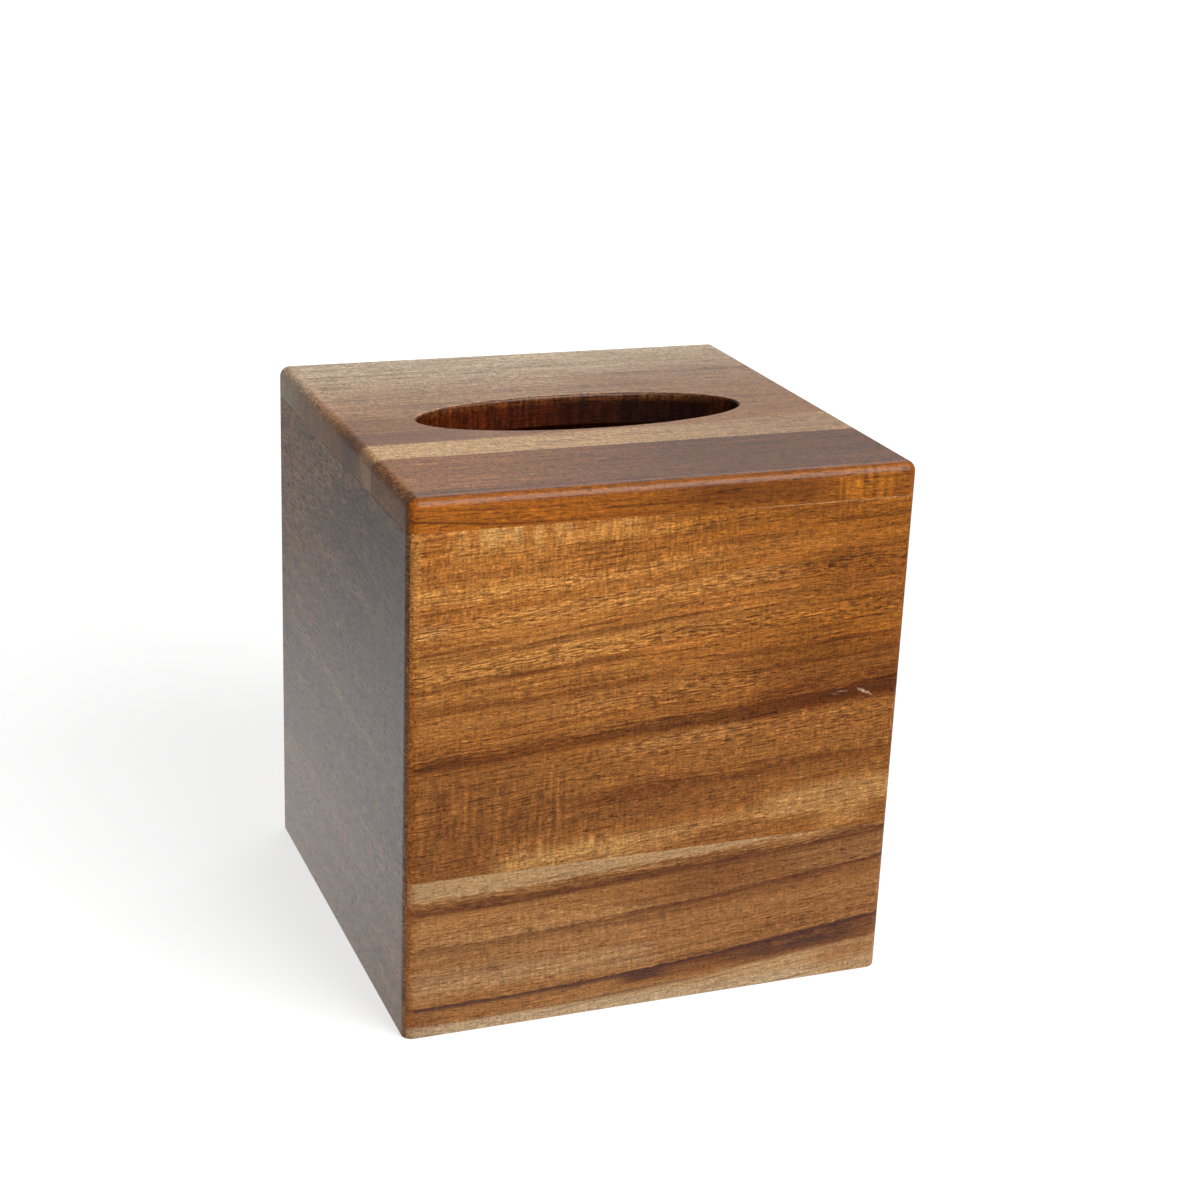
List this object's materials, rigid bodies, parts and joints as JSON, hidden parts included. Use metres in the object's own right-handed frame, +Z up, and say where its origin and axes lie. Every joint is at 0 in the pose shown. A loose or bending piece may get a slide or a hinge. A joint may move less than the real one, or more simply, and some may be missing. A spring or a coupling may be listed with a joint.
{
  "type": "tissue box cover",
  "caption": "Wooden cover that drops over a boutique tissue box: mitred walls of edge-glued staves, open at the bottom, and a glued-on top board with an oval dispensing slot.",
  "frame": {"origin": "middle of the foot, on the surface that the cover stands on", "axes": "+Z up, +X to the right along the front, +Y from the front to the back"},
  "size_m": [0.14, 0.138, 0.15],
  "materials": {
    "front_lower_wood": "acacia, satin lacquer, dark streaks and pale sapwood",
    "front_upper_wood": "acacia, satin lacquer, golden brown with cross figure",
    "back_lower_wood": "acacia, satin lacquer",
    "back_upper_wood": "acacia, satin lacquer",
    "left_lower_wood": "acacia, satin lacquer",
    "left_upper_wood": "acacia, satin lacquer",
    "right_lower_wood": "acacia, satin lacquer",
    "right_upper_wood": "acacia, satin lacquer",
    "top_front_wood": "acacia, satin lacquer, orange brown on its front edge",
    "top_rear_wood": "acacia, satin lacquer, pale sapwood along the glue line",
    "spline_wood": "bare hardwood"
  },
  "bodies": {
    "root": {"front_lower_stave": "front_lower_wood", "front_upper_stave": "front_upper_wood", "back_lower_stave": "back_lower_wood", "back_upper_stave": "back_upper_wood", "left_lower_stave": "left_lower_wood", "left_upper_stave": "left_upper_wood", "right_lower_stave": "right_lower_wood", "right_upper_stave": "right_upper_wood", "top_front_stave": "top_front_wood", "top_rear_stave": "top_rear_wood", "front_left_spline": "spline_wood", "front_right_spline": "spline_wood", "back_left_spline": "spline_wood", "back_right_spline": "spline_wood"}
  },
  "joints": []
}
